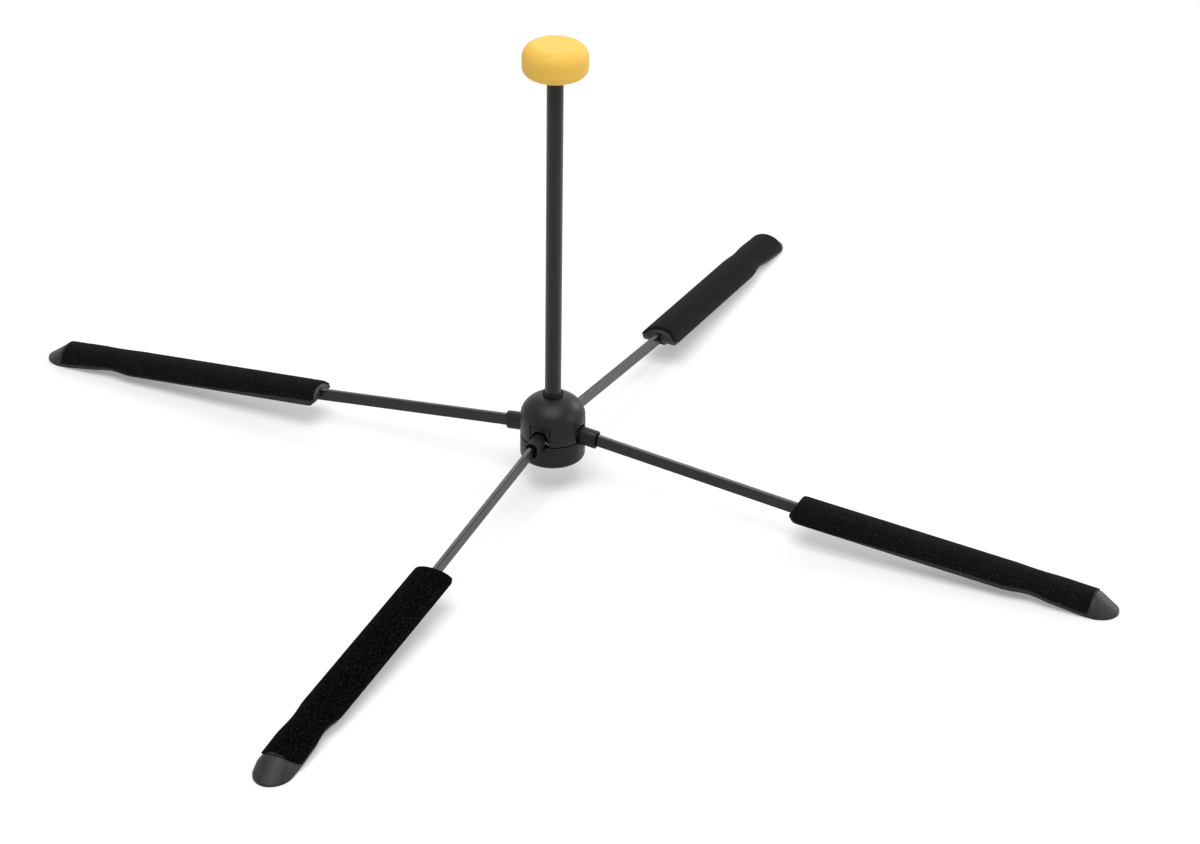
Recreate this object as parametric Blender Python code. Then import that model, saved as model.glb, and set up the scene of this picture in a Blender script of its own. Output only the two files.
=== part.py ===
"""Folding instrument stand: four velvet-covered legs hinged in a domed hub, with a capped post.

Metres, +Z up. The origin is on the floor below the post. The legs lie on the frame's axes:
right +X, back +Y, left -X, front -Y.
"""
import math

import bmesh
import bpy
from mathutils import Matrix, Vector

# Clearances
FIT = 0.0003            # between pieces that are seated on each other
SEAM = 0.0008           # between the hood's lower edge and the base
NOTCH_GAP = 0.0004      # between a knuckle and its notch in the base

# Legs: where they lie, and the line of the bars
LEG_ANGLES = {"front": -90.0, "right": 0.0, "back": 90.0, "left": 180.0}
LEG_REACH = 0.400       # from the post's axis to the tip of a foot
PIVOT_IN = 0.0047       # hinge pin inside the hub's side
PIVOT_Z = 0.0362
BAR_LIFT = 0.00274      # bar's centre-line above the pin
BAR_TIP_Z = -0.00240    # bar's centre-line, carried on to the foot's tip

# Flat bar on edge, with rounded edges
BAR_W = 0.0032
BAR_H = 0.0081
BAR_EDGE = 0.0006
BAR_OUT = 0.0072        # from the pin to the bar's inner end
BAR_IN_PAD = 0.062      # length that is held inside the sleeve

# Hinge pins and knuckles
PIN_R = 0.0014
EYE_R = 0.0040
EYE_HALF = 0.0030
KNUCKLE_BODY = 0.0032   # from the pin to where the oval body begins
KNUCKLE_OUT = 0.0157    # and to its outer end
KNUCKLE_HALF = (0.0045, 0.0064)   # half width and half height of the oval
KNUCKLE_CHAMFER = 0.0010
MOUTH_DEPTH = 0.0040    # rounded mouth round the bar at the knuckle's end
MOUTH_WALL = 0.0009

# Hub
HUB_R = 0.0220
HUB_BOTTOM_Z = 0.0184
HUB_EDGE = 0.0030       # rounding of the base's lower edge
HUB_BREAK = 0.0004      # broken edges of base, core and hood
SEAM_Z = 0.0354
BASE_FLOOR = 0.0030
BASE_WALL = 0.0020
CORE_TOP_Z = 0.0486
CORE_DISH_R = 0.0099    # dish round the post, which the folded knuckles dip into
CORE_DISH_UP = 0.0036   # its floor above the pins
CORE_BOSS_WALL = 0.0016
SLOT_HALF = 0.0056
SLOT_GAP = 0.0005       # under the knuckle's eye

# Hood
HOOD_WALL = 0.0020
HOOD_WAIST_Z = 0.0490   # where the dome starts to close in
HOOD_TOP_Z = 0.0643
WINDOW_HALF = 0.0073
WINDOW_TOP_Z = 0.0491

# Liner inside the hood, which fills the windows down to an arch over each knuckle
LINER_WALL = 0.0020     # of the ring behind the hood's wall
LINER_SET = 0.0003      # its pads lie this much behind the hood's outer side
LINER_GAP = 0.0004      # between a pad and its window
LINER_Z = 0.0402        # lower edge, which leaves the hinge pins in sight
ARCH_GAP = 0.0012       # between a knuckle and the arch over it

# Rubber bush that lines the hood's mouth
BUSH_WALL = 0.0007      # in the hood's mouth
BUSH_LIP = 0.0013       # at the lips
BUSH_RISE = 0.0022      # above the hood
BUSH_UNDER = 0.0010     # below the hood's wall

# Post, its two plugs and the screw
POST_R = 0.0055
POST_WALL = 0.0012
POST_TOP_Z = 0.3000
SOCKET_FLOOR = 0.0026   # core material below the post
FOOT_PLUG_L = 0.0160
SCREW_R = 0.0017
SCREW_HEAD_R = 0.0036
SCREW_HEAD_H = 0.0022
SCREW_L = 0.0170
SCREW_SINK = 0.0003     # head below the base's underside
DRIVE_HALF = (0.0018, 0.0005)   # cross recess: half length and half width of an arm
DRIVE_DEPTH = 0.0011

# Soft cap
CAP_R = 0.02165
CAP_GRIP = 0.0025       # soft cap below the post's upper end
CAP_H = 0.0210
CAP_EDGE_TOP = 0.0085
CAP_EDGE_LOW = 0.0060
FLANGE_R = 0.0085
FLANGE_H = 0.0030
CAP_PLUG_L = 0.0150

# Sleeve on the outer half of each leg
PAD_L = 0.2235
PAD_DROP = 0.0070       # sleeve's lower edge below the bar's line, both carried back to the hinge
PAD_TIP_Z = 0.0002      # straight lower edge, carried on to the foot's tip
PAD_HALF = 0.0139       # half width over the velvet
FOOT_HALF = 0.0135      # and beyond the waist
PAD_H = 0.0120          # crown over the lower edge, over the velvet
VELVET_T = 0.0008
VELVET_HEM = 0.0019     # upright bare strip below the velvet
VELVET_END = 0.0008     # bare strip before the foot's sloping end
SHELL_WALL = 0.0022
EDGE_CHAMFER = 0.0004   # along the lower edge
END_CHAMFER = 0.0035    # set back of the inner end's lower corners
END_SLANT = 0.0040      # set back of its crown
END_ROUND = 0.0030      # rounding of its crown
END_WALL = 0.0025       # wall behind that rounding
WAIST_BACK = (0.0750, 0.0390)   # the waist's two ends, back from the tip
WAIST_RISE = 0.0011
WAIST_PINCH = 0.0016    # on each side
SOLID_L = 0.0300        # foot that isn't hollow
SOLE_L = 0.0120         # flat part of the sole
NOSE_L = 0.0145         # sloping end of the foot
SPINE_HALF = 0.0036     # rib inside the sleeve that holds the bar
SPINE_PAST = 0.0060      # rib beyond the bar's outer end
SPINE_UNDER = 0.0016

ROUND = 48
SMALL_ROUND = 20
ARC = 16                # steps over a sleeve's section, an even count
WAIST_STEPS = 6

MATERIALS = {
    "moulded": ((0.030, 0.030, 0.032), 0.55, 0.0),
    "painted": ((0.045, 0.045, 0.047), 0.38, 0.0),
    "steel": ((0.62, 0.62, 0.63), 0.25, 1.0),
    "velvet": ((0.006, 0.006, 0.007), 0.95, 0.0),
    "soft_yellow": ((0.85, 0.48, 0.09), 0.60, 0.0),
    "rubber": ((0.010, 0.010, 0.011), 0.70, 0.0),
}


def clear_scene():
    for ob in list(bpy.data.objects):
        bpy.data.objects.remove(ob)


def material(name):
    mat = bpy.data.materials.get(name)
    if mat is None:
        colour, roughness, metallic = MATERIALS[name]
        mat = bpy.data.materials.new(name)
        mat.use_nodes = True
        shader = mat.node_tree.nodes["Principled BSDF"]
        shader.inputs["Base Color"].default_value = (*colour, 1.0)
        shader.inputs["Roughness"].default_value = roughness
        shader.inputs["Metallic"].default_value = metallic
    return mat


def to_object(name, bm, finish, smooth=True):
    """Makes an object of a closed mesh, with its faces pointing out."""
    bmesh.ops.recalc_face_normals(bm, faces=bm.faces)
    mesh = bpy.data.meshes.new(name)
    bm.to_mesh(mesh)
    bm.free()
    ob = bpy.data.objects.new(name, mesh)
    bpy.context.collection.objects.link(ob)
    mesh.materials.append(material(finish))
    if smooth:
        mesh.shade_smooth()
        mesh.set_sharp_from_angle(angle=math.radians(35))
    return ob


def cutter(name, bm):
    ob = to_object(name, bm, "moulded", smooth=False)
    ob.hide_render = True
    ob.display_type = "WIRE"
    return ob


def boolean(ob, other, operation="DIFFERENCE"):
    mod = ob.modifiers.new(other.name, "BOOLEAN")
    mod.operation = operation
    mod.solver = "EXACT"
    mod.object = other


def lathe(profile, segments):
    """Turns a profile of (radius, z) about Z. A profile that leaves the axis is closed on itself."""
    bm = bmesh.new()
    rings = []
    for radius, z in profile:
        if radius == 0.0:
            rings.append([bm.verts.new((0.0, 0.0, z))])
            continue
        ring = []
        for i in range(segments):
            a = 2.0 * math.pi * i / segments
            ring.append(bm.verts.new((radius * math.cos(a), radius * math.sin(a), z)))
        rings.append(ring)
    pairs = list(zip(rings, rings[1:]))
    if len(rings[0]) > 1 and len(rings[-1]) > 1:
        pairs.append((rings[-1], rings[0]))
    for low, high in pairs:
        for i in range(segments):
            j = (i + 1) % segments
            corners = [low[i % len(low)], low[j % len(low)], high[j % len(high)], high[i % len(high)]]
            face = list(dict.fromkeys(corners))
            if len(face) > 2:
                bm.faces.new(face)
    return bm


def arc(cx, cz, rx, rz, start, end, steps):
    """Points (x, z) on an elliptical arc, from one angle to another in degrees."""
    points = []
    for i in range(steps + 1):
        a = math.radians(start + (end - start) * i / steps)
        points.append((cx + rx * math.cos(a), cz + rz * math.sin(a)))
    return points


def box(low, high):
    bm = bmesh.new()
    bmesh.ops.create_cube(bm, size=1.0)
    low, high = Vector(low), Vector(high)
    for v in bm.verts:
        v.co = Vector((low[i] + (v.co[i] + 0.5) * (high[i] - low[i]) for i in range(3)))
    return bm


def turned_about(bm, degrees):
    bmesh.ops.rotate(bm, verts=bm.verts, cent=(0, 0, 0), matrix=Matrix.Rotation(math.radians(degrees), 3, "Z"))
    return bm


def at_hinge(bm):
    """Lays a piece that was turned about Z along Y, through the right leg's hinge."""
    bmesh.ops.rotate(bm, verts=bm.verts, cent=(0, 0, 0), matrix=Matrix.Rotation(math.radians(90), 3, "X"))
    bmesh.ops.translate(bm, verts=bm.verts, vec=(pivot_r(), 0, PIVOT_Z))
    return bm


def cross_pin(radius, half, segments):
    return at_hinge(lathe([(0.0, -half), (radius, -half), (radius, half), (0.0, half)], segments))


def cross_eye():
    hole = PIN_R + FIT
    profile = [(hole, -EYE_HALF), (EYE_R, -EYE_HALF), (EYE_R, EYE_HALF), (hole, EYE_HALF)]
    return at_hinge(lathe(profile, SMALL_ROUND))


def pivot_r():
    return HUB_R - PIVOT_IN


def bar_slope():
    return (PIVOT_Z + BAR_LIFT - BAR_TIP_Z) / (LEG_REACH - pivot_r())


def bar_z(r):
    """Height of the bar's centre-line."""
    return PIVOT_Z + BAR_LIFT - bar_slope() * (r - pivot_r())


def bar_point(r, side, up):
    """A point beside the bar's centre-line: along it at r, then sideways, then square to it upwards."""
    length = math.hypot(1.0, bar_slope())
    return Vector((r + up * bar_slope() / length, side, bar_z(r) + up / length))


def loft(sections):
    """Closed skin over sections of equal point count, with flat ends."""
    bm = bmesh.new()
    rings = [[bm.verts.new(p) for p in section] for section in sections]
    count = len(rings[0])
    for a, b in zip(rings, rings[1:]):
        for i in range(count):
            j = (i + 1) % count
            bm.faces.new((a[i], a[j], b[j], b[i]))
    bm.faces.new(rings[0])
    bm.faces.new(rings[-1])
    return bm


def bar_block(start, end, half_w, half_h):
    corners = ((-1, -1), (1, -1), (1, 1), (-1, 1))
    return loft([[bar_point(r, a * half_w, b * half_h) for a, b in corners] for r in (start, end)])


def rounded_block(start, end, half_w, half_h, edge):
    """Length of flat bar with rounded long edges."""
    outline = []
    for a, b, turn in ((1, 1, 0.0), (-1, 1, 90.0), (-1, -1, 180.0), (1, -1, 270.0)):
        outline += arc(a * (half_w - edge), b * (half_h - edge), edge, edge, turn, turn + 90.0, 3)
    return loft([[bar_point(r, side, up) for side, up in outline] for r in (start, end)])


def stadium(r, half_w, half_h):
    """Section with round ends, upright on the bar's line."""
    points = []
    steps = SMALL_ROUND // 2
    for centre, start in ((half_h - half_w, 0.0), (half_w - half_h, 180.0)):
        for i in range(steps + 1):
            a = math.radians(start + 180.0 * i / steps)
            points.append(bar_point(r, half_w * math.cos(a), centre + half_w * math.sin(a)))
    return points


# Sleeve

def pad_start():
    return LEG_REACH - PAD_L


def pad_line(r):
    """Height of the sleeve's straight lower edge."""
    inner = PIVOT_Z + BAR_LIFT - PAD_DROP
    return inner + (PAD_TIP_Z - inner) * r / LEG_REACH


def hollow_start():
    return pad_start() + END_ROUND + END_WALL


def ease(x):
    x = min(max(x, 0.0), 1.0)
    return x * x * (3.0 - 2.0 * x)


def waist_share(r):
    """How far r lies along the waist, from 0 to 1."""
    start, end = (LEG_REACH - back for back in WAIST_BACK)
    return min(max((r - start) / (end - start), 0.0), 1.0)


def waist(r):
    return math.sin(math.pi * waist_share(r)) ** 2


def pad_edge(r):
    """Height of the lower edge, which lifts at the waist and runs out to a flat sole."""
    foot = LEG_REACH - WAIST_BACK[1]
    sole = LEG_REACH - SOLE_L
    return pad_line(r) * (1.0 - ease((r - foot) / (sole - foot))) + WAIST_RISE * waist(r)


def half_width(r):
    return PAD_HALF - (PAD_HALF - FOOT_HALF) * ease(waist_share(r)) - WAIST_PINCH * waist(r)


def end_round(r):
    """How far the rounding of the inner end lowers the crown."""
    left = 1.0 - min((r - pad_start()) / END_ROUND, 1.0)
    return 0.5 * END_ROUND * (1.0 - math.sqrt(1.0 - left ** 2))


def end_setback(up):
    """How far the sleeve's inner end is set back, at a share of the crown's height."""
    corner = 0.35
    if up < corner:
        return END_CHAMFER * (1.0 - up / corner)
    return END_SLANT * (up - corner) / (1.0 - corner)


def section(r, inset, foot_up):
    """Half-round section at r. Beyond the nose's start it sinks, which leaves a sloping end face.

    Each point is (side, height). foot_up is how far the arch stands above the lower edge.
    """
    at = min(r, LEG_REACH - NOSE_L)
    past = (r - at) / NOSE_L
    half = half_width(at) - inset - 0.5 * end_round(r)
    foot = pad_edge(r) + foot_up
    top = pad_line(at) + PAD_H - inset - end_round(r)
    width = half * math.sqrt(1.0 - past ** 2)
    points = []
    for i in range(ARC + 1):
        side = width * math.cos(math.pi * i / ARC)
        up = math.sqrt(max(1.0 - (side / half) ** 2, 0.0)) - past
        points.append((side, foot + (top - foot) * max(up, 0.0)))
    return points


def placed(r, points):
    """Points of a section in space. Near the inner end they follow its slanted face."""
    low = pad_edge(r)
    high = pad_line(r) + PAD_H
    near_end = r <= hollow_start()
    out = []
    for side, z in points:
        back = end_setback((z - low) / (high - low)) if near_end else 0.0
        out.append((r + back, side, z + pad_line(r + back) - pad_line(r)))
    return out


def with_corners(r, points):
    """Adds the upright wall below an arch, with a chamfer along its lower edge."""
    half = points[0][0]
    low = pad_edge(r)
    corner = [(half - EDGE_CHAMFER, low), (half, low + EDGE_CHAMFER)]
    return corner + points + [(-side, z) for side, z in corner[::-1]]


def pad_stations():
    first = pad_start()
    start, end = (LEG_REACH - back for back in WAIST_BACK)
    sole = LEG_REACH - SOLE_L
    nose = LEG_REACH - NOSE_L
    stations = [first, first + 0.3 * END_ROUND, first + END_ROUND, hollow_start()]
    stations += [start + (end - start) * i / WAIST_STEPS for i in range(WAIST_STEPS + 1)]
    stations += [LEG_REACH - SOLID_L, 0.5 * (LEG_REACH - SOLID_L + nose), nose - VELVET_END, nose]
    stations += [nose + NOSE_L * math.sin(math.radians(a)) for a in (14, 28, 42, 54, 66, 76, 83)]
    return sorted(stations + [sole])


def bridge(bm, a, b):
    """Faces between two rows of points."""
    for i in range(len(a) - 1):
        bm.faces.new((a[i], a[i + 1], b[i + 1], b[i]))


def close_across(bm, ring):
    """Closes an end of the sleeve with strips that run straight across it."""
    for i in range(len(ring) // 2):
        corners = [ring[i], ring[i + 1], ring[-2 - i], ring[-1 - i]]
        bm.faces.new(list(dict.fromkeys(corners)))


def pad_skin():
    """Open-bottomed sleeve with a solid foot and a wall at its inner end, as an outer and an inner skin."""
    bm = bmesh.new()
    outer, inner = [], []
    inset = VELVET_T + FIT
    for r in pad_stations():
        points = with_corners(r, section(r, inset, VELVET_HEM))
        outer.append([bm.verts.new(p) for p in placed(r, points)])
        if hollow_start() <= r <= LEG_REACH - SOLID_L:
            points = section(r, inset + SHELL_WALL, 0.0)
            inner.append([bm.verts.new(p) for p in placed(r, points)])
        if r < hollow_start():
            first = len(outer)
    last = first + len(inner) - 1
    for skin in (outer, inner):
        for a, b in zip(skin, skin[1:]):
            bridge(bm, a, b)
    # Underside: flat across the two solid ends, and two rims beside the hollow
    for solid in (outer[:first], outer[last + 1:]):
        for a, b in zip(solid, solid[1:]):
            bm.faces.new((a[0], a[-1], b[-1], b[0]))
    for side in (0, -1):
        bridge(bm, [ring[side] for ring in outer[first:last + 1]], [ring[side] for ring in inner])
    for rim, hollow, solid in ((outer[first], inner[0], outer[first - 1]), (outer[last], inner[-1], outer[last + 1])):
        bm.faces.new((rim[0], hollow[0], hollow[-1], rim[-1], solid[-1], solid[0]))
    for ring in (outer[0], inner[0], inner[-1], outer[-1]):
        close_across(bm, ring)
    return bm


def velvet_skin():
    """Sheet over the sleeve, between the two bare strips."""
    bm = bmesh.new()
    last = LEG_REACH - NOSE_L - VELVET_END
    skins = []
    for inset in (0.0, VELVET_T):
        skins.append([[bm.verts.new(p) for p in placed(r, section(r, inset, VELVET_HEM))]
                      for r in pad_stations() if r <= last])
    outer, inner = skins
    for skin in skins:
        for a, b in zip(skin, skin[1:]):
            bridge(bm, a, b)
    for end in (0, -1):
        bridge(bm, outer[end], inner[end])
        bridge(bm, [ring[end] for ring in outer], [ring[end] for ring in inner])
    return bm


def spine_block():
    """Rib from the bar's underside up into the crown, square to the floor at both ends."""
    start = pad_start() + END_SLANT + 0.5 * END_WALL
    end = pad_start() + BAR_IN_PAD + SPINE_PAST
    sections = []
    for r in (start, end):
        low = bar_z(r) - 0.5 * BAR_H - FIT - SPINE_UNDER
        high = pad_line(r) + PAD_H - VELVET_T - FIT - 0.5 * SHELL_WALL
        half = SPINE_HALF
        sections.append([(r, -half, low), (r, half, low), (r, half, high), (r, -half, high)])
    return loft(sections)


def make_pad_shell(name, angle):
    ob = to_object(name, turned_about(pad_skin(), angle), "moulded")
    spine = cutter(name + "_spine", turned_about(spine_block(), angle))
    bore = bar_block(pad_start() - END_WALL, pad_start() + BAR_IN_PAD + FIT,
                     0.5 * BAR_W + FIT, 0.5 * BAR_H + FIT)
    bore_ob = cutter(name + "_bore", turned_about(bore, angle))
    boolean(ob, spine, "UNION")
    boolean(ob, bore_ob)


def make_velvet(name, angle):
    to_object(name, turned_about(velvet_skin(), angle), "velvet")


def make_bar(name, angle):
    bm = rounded_block(pivot_r() + BAR_OUT, pad_start() + BAR_IN_PAD, 0.5 * BAR_W, 0.5 * BAR_H, BAR_EDGE)
    to_object(name, turned_about(bm, angle), "painted")


def make_pin(name, angle):
    to_object(name, turned_about(cross_pin(PIN_R, WINDOW_HALF - FIT, SMALL_ROUND), angle), "steel")


def make_knuckle(name, angle):
    """Oval body round the bar, with a narrower eye round the hinge pin."""
    half_w, half_h = KNUCKLE_HALF
    cut = KNUCKLE_CHAMFER
    end = pivot_r() + KNUCKLE_OUT
    body = loft([stadium(pivot_r() + KNUCKLE_BODY, half_w, half_h), stadium(end - cut, half_w, half_h),
                 stadium(end, half_w - 0.5 * cut, half_h - 0.5 * cut)])
    ob = to_object(name, turned_about(body, angle), "moulded")
    bore = bar_block(pivot_r() + BAR_OUT - FIT, end + MOUTH_DEPTH, 0.5 * BAR_W + FIT, 0.5 * BAR_H + FIT)
    boolean(ob, cutter(name + "_bore", turned_about(bore, angle)))
    mouth = loft([stadium(r, half_w - MOUTH_WALL, half_h - MOUTH_WALL)
                  for r in (end - MOUTH_DEPTH, end + MOUTH_DEPTH)])
    boolean(ob, cutter(name + "_mouth", turned_about(mouth, angle)))
    boolean(ob, cutter(name + "_eye", turned_about(cross_eye(), angle)), "UNION")


def make_leg(side, angle):
    make_pin("hinge_pin_" + side, angle)
    make_knuckle("knuckle_" + side, angle)
    make_bar("leg_bar_" + side, angle)
    make_pad_shell("pad_shell_" + side, angle)
    make_velvet("velvet_" + side, angle)


# Hub

def make_core():
    """Four cheeks round the post, with a slot between each two for a hinge."""
    radius = HUB_R - BASE_WALL - FIT
    bottom = HUB_BOTTOM_Z + BASE_FLOOR + FIT
    socket = bottom + SOCKET_FLOOR
    bore = POST_R + FIT
    screw = SCREW_R + FIT
    neck = radius - LINER_WALL - FIT
    shoulder = LINER_Z - FIT
    dish = PIVOT_Z + CORE_DISH_UP
    top = CORE_TOP_Z
    profile = [(screw, bottom), (radius, bottom), (radius, shoulder), (neck, shoulder)]
    profile += [(neck, top - HUB_BREAK), (neck - HUB_BREAK, top)]
    profile += [(CORE_DISH_R, top), (CORE_DISH_R, dish), (bore, dish), (bore, socket), (screw, socket)]
    ob = to_object("hub_core", lathe(profile, ROUND), "moulded")
    for side, angle in LEG_ANGLES.items():
        slot = box((bore + CORE_BOSS_WALL, -SLOT_HALF, PIVOT_Z - EYE_R - SLOT_GAP),
                   (2 * HUB_R, SLOT_HALF, 2 * CORE_TOP_Z))
        boolean(ob, cutter("slot_" + side, turned_about(slot, angle)))
        hole = cross_pin(PIN_R + FIT, WINDOW_HALF, SMALL_ROUND)
        boolean(ob, cutter("pin_hole_" + side, turned_about(hole, angle)))


def make_base():
    """Cup round the core. Each notch follows the oval of the knuckle that lies in it."""
    inner = HUB_R - BASE_WALL
    floor = HUB_BOTTOM_Z + BASE_FLOOR
    top = SEAM_Z - SEAM
    screw = SCREW_R + FIT
    head = SCREW_HEAD_R + FIT
    sink = HUB_BOTTOM_Z + SCREW_SINK + SCREW_HEAD_H + FIT
    profile = [(head, HUB_BOTTOM_Z)]
    profile += arc(HUB_R - HUB_EDGE, HUB_BOTTOM_Z + HUB_EDGE, HUB_EDGE, HUB_EDGE, -90.0, 0.0, 5)
    profile += [(HUB_R, top - HUB_BREAK), (HUB_R - HUB_BREAK, top), (inner, top), (inner, floor)]
    profile += [(screw, floor), (screw, sink)]
    ob = to_object("hub_base", lathe(profile, ROUND), "moulded")
    half_w, half_h = (half + NOTCH_GAP for half in KNUCKLE_HALF)
    for side, angle in LEG_ANGLES.items():
        notch = loft([stadium(r, half_w, half_h) for r in (0.7 * HUB_R, 1.5 * HUB_R)])
        boolean(ob, cutter("notch_" + side, turned_about(notch, angle)))


def make_screw():
    low = HUB_BOTTOM_Z + SCREW_SINK
    neck = low + SCREW_HEAD_H
    profile = [(0.0, low), (SCREW_HEAD_R, low), (SCREW_R, neck), (SCREW_R, low + SCREW_L), (0.0, low + SCREW_L)]
    ob = to_object("base_screw", lathe(profile, SMALL_ROUND), "steel")
    long = DRIVE_HALF[0]
    short = DRIVE_HALF[1]
    corners = [(long, short), (short, short), (short, long)]
    outline = [(x, y) for x, y in corners]
    for turn in range(1, 4):
        a = math.radians(90.0 * turn)
        outline += [(x * math.cos(a) - y * math.sin(a), x * math.sin(a) + y * math.cos(a)) for x, y in corners]
    recess = loft([[(x, y, z) for x, y in outline] for z in (low - DRIVE_DEPTH, low + DRIVE_DEPTH)])
    boolean(ob, cutter("screw_drive", recess))


def hood_mouth():
    return POST_R + FIT + BUSH_WALL + FIT


def hood_outline(offset, steps):
    """The dome's outer or inner side, bottom to top, moved inwards by offset."""
    radius = HUB_R - offset
    height = HOOD_TOP_Z - offset - HOOD_WAIST_Z
    # The dome is an ellipse that would close above its mouth
    share = math.sqrt(1.0 - (hood_mouth() / radius) ** 2)
    rise = height / share
    end = math.degrees(math.asin(share))
    return arc(0.0, HOOD_WAIST_Z, radius, rise, 0.0, end, steps)


def make_hood():
    inner = HUB_R - HOOD_WALL
    outside = [(HUB_R - HUB_BREAK, SEAM_Z), (HUB_R, SEAM_Z + HUB_BREAK)] + hood_outline(0.0, 10)
    inside = [(inner, SEAM_Z)] + hood_outline(HOOD_WALL, 7)
    ob = to_object("hood", lathe(outside + inside[::-1], ROUND), "moulded")
    for name, a in (("windows_x", 0.0), ("windows_y", 90.0)):
        slot = box((-2 * HUB_R, -WINDOW_HALF, 0.5 * SEAM_Z), (2 * HUB_R, WINDOW_HALF, WINDOW_TOP_Z))
        boolean(ob, cutter(name, turned_about(slot, a)))


def make_liner():
    """Ring inside the hood's skirt, with a pad in each window and an arch over each knuckle."""
    ring = HUB_R - HOOD_WALL - FIT
    pad = HUB_R - LINER_SET
    top = WINDOW_TOP_Z - LINER_GAP
    inner = ring - LINER_WALL
    profile = [(inner, LINER_Z), (pad, LINER_Z), (pad, top), (inner, top)]
    ob = to_object("hood_liner", lathe(profile, ROUND), "moulded")
    beyond = [(ring, 0.5 * LINER_Z), (2 * HUB_R, 0.5 * LINER_Z), (2 * HUB_R, 2 * top), (ring, 2 * top)]
    between = cutter("between_pads", lathe(beyond, ROUND))
    reach = WINDOW_HALF - LINER_GAP
    for side, angle in LEG_ANGLES.items():
        pad_space = box((0.5 * HUB_R, -reach, 0.4 * LINER_Z), (3 * HUB_R, reach, 3 * top))
        boolean(between, cutter("pad_space_" + side, turned_about(pad_space, angle)))
    boolean(ob, between)
    half_w, half_h = (half + ARCH_GAP for half in KNUCKLE_HALF)
    for side, angle in LEG_ANGLES.items():
        arch = loft([stadium(r, half_w, half_h) for r in (0.7 * HUB_R, 1.5 * HUB_R)])
        boolean(ob, cutter("arch_" + side, turned_about(arch, angle)))


def make_bush():
    """Rubber bush with a lip above and below the hood's wall, which grips the post."""
    bore = POST_R + FIT
    neck = bore + BUSH_WALL
    lip = bore + BUSH_LIP
    seat = HOOD_TOP_Z + FIT
    under = HOOD_TOP_Z - HOOD_WALL - FIT
    crown = seat + BUSH_RISE
    edge = 0.5 * BUSH_LIP
    profile = [(bore, under - BUSH_UNDER), (lip, under - BUSH_UNDER), (lip, under), (neck, under)]
    profile += [(neck, seat), (lip, seat)]
    profile += arc(lip - edge, crown - edge, edge, edge, 0.0, 180.0, 4)
    to_object("hood_bush", lathe(profile, 24), "rubber")


# Post and cap

def post_bottom():
    return HUB_BOTTOM_Z + BASE_FLOOR + FIT + SOCKET_FLOOR + FIT


def make_post():
    inner = POST_R - POST_WALL
    low = post_bottom()
    profile = [(POST_R, low), (POST_R, POST_TOP_Z), (inner, POST_TOP_Z), (inner, low)]
    to_object("post_tube", lathe(profile, 32), "painted")
    plug = inner - FIT
    screw = SCREW_R + FIT
    profile = [(plug, low), (plug, low + FOOT_PLUG_L), (screw, low + FOOT_PLUG_L), (screw, low)]
    to_object("foot_plug", lathe(profile, 24), "steel")


def make_cap():
    plug = POST_R - POST_WALL - FIT
    seat = POST_TOP_Z + FIT
    top = seat + FLANGE_H
    profile = [(0.0, POST_TOP_Z - CAP_PLUG_L), (plug, POST_TOP_Z - CAP_PLUG_L), (plug, seat),
               (FLANGE_R, seat), (FLANGE_R, top), (0.0, top)]
    to_object("cap_plug", lathe(profile, 24), "moulded")
    bore = POST_R + FIT
    pocket = FLANGE_R + FIT
    low = POST_TOP_Z - CAP_GRIP
    crown = low + CAP_H
    profile = [(bore, low)]
    profile += arc(CAP_R - CAP_EDGE_LOW, low + CAP_EDGE_LOW, CAP_EDGE_LOW, CAP_EDGE_LOW, -90.0, 0.0, 4)
    profile += arc(CAP_R - CAP_EDGE_TOP, crown - CAP_EDGE_TOP, CAP_EDGE_TOP, CAP_EDGE_TOP, 0.0, 90.0, 6)
    profile += [(0.0, crown)]
    hollow = [(0.0, top + FIT), (pocket, top + FIT), (pocket, seat - FIT), (bore, seat - FIT)]
    to_object("soft_cap", lathe(hollow + profile, ROUND), "soft_yellow")


def main():
    clear_scene()
    make_core()
    make_base()
    make_screw()
    make_hood()
    make_liner()
    make_bush()
    make_post()
    make_cap()
    for side, angle in LEG_ANGLES.items():
        make_leg(side, angle)


main()
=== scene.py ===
"""Looks of the folding instrument stand: finishes, finer shells, velvet covers, soft cap, stage and camera."""
import math

import bpy
from mathutils import Matrix, Vector, noise


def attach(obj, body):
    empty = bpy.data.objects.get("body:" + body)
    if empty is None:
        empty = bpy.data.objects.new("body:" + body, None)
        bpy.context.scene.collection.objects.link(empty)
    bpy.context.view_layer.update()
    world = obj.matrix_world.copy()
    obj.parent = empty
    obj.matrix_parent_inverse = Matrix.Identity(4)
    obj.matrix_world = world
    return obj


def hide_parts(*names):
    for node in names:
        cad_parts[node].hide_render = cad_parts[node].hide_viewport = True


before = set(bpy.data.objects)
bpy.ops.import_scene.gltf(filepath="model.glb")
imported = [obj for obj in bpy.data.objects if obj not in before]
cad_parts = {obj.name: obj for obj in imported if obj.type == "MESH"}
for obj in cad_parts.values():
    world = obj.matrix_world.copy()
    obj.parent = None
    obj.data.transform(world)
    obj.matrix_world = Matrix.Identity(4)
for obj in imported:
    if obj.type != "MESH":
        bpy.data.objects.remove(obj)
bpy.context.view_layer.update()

# Camera, solved from the photograph
VIEW_AZIMUTH = 24.16
VIEW_ELEVATION = 29.432
VIEW_ROLL = 0.86
VIEW_DISTANCE = 2.3452
VIEW_RIGHT = 0.0324      # the view's centre, beside and above the origin
VIEW_UP = 0.03754
LENS_MM = 103.4
SENSOR_MM = 36.0

# The sizes below are the solids' own
FIT = 0.0003
LEG_ANGLES = {"front": -90.0, "right": 0.0, "back": 90.0, "left": 180.0}
LEG_REACH = 0.400

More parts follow.
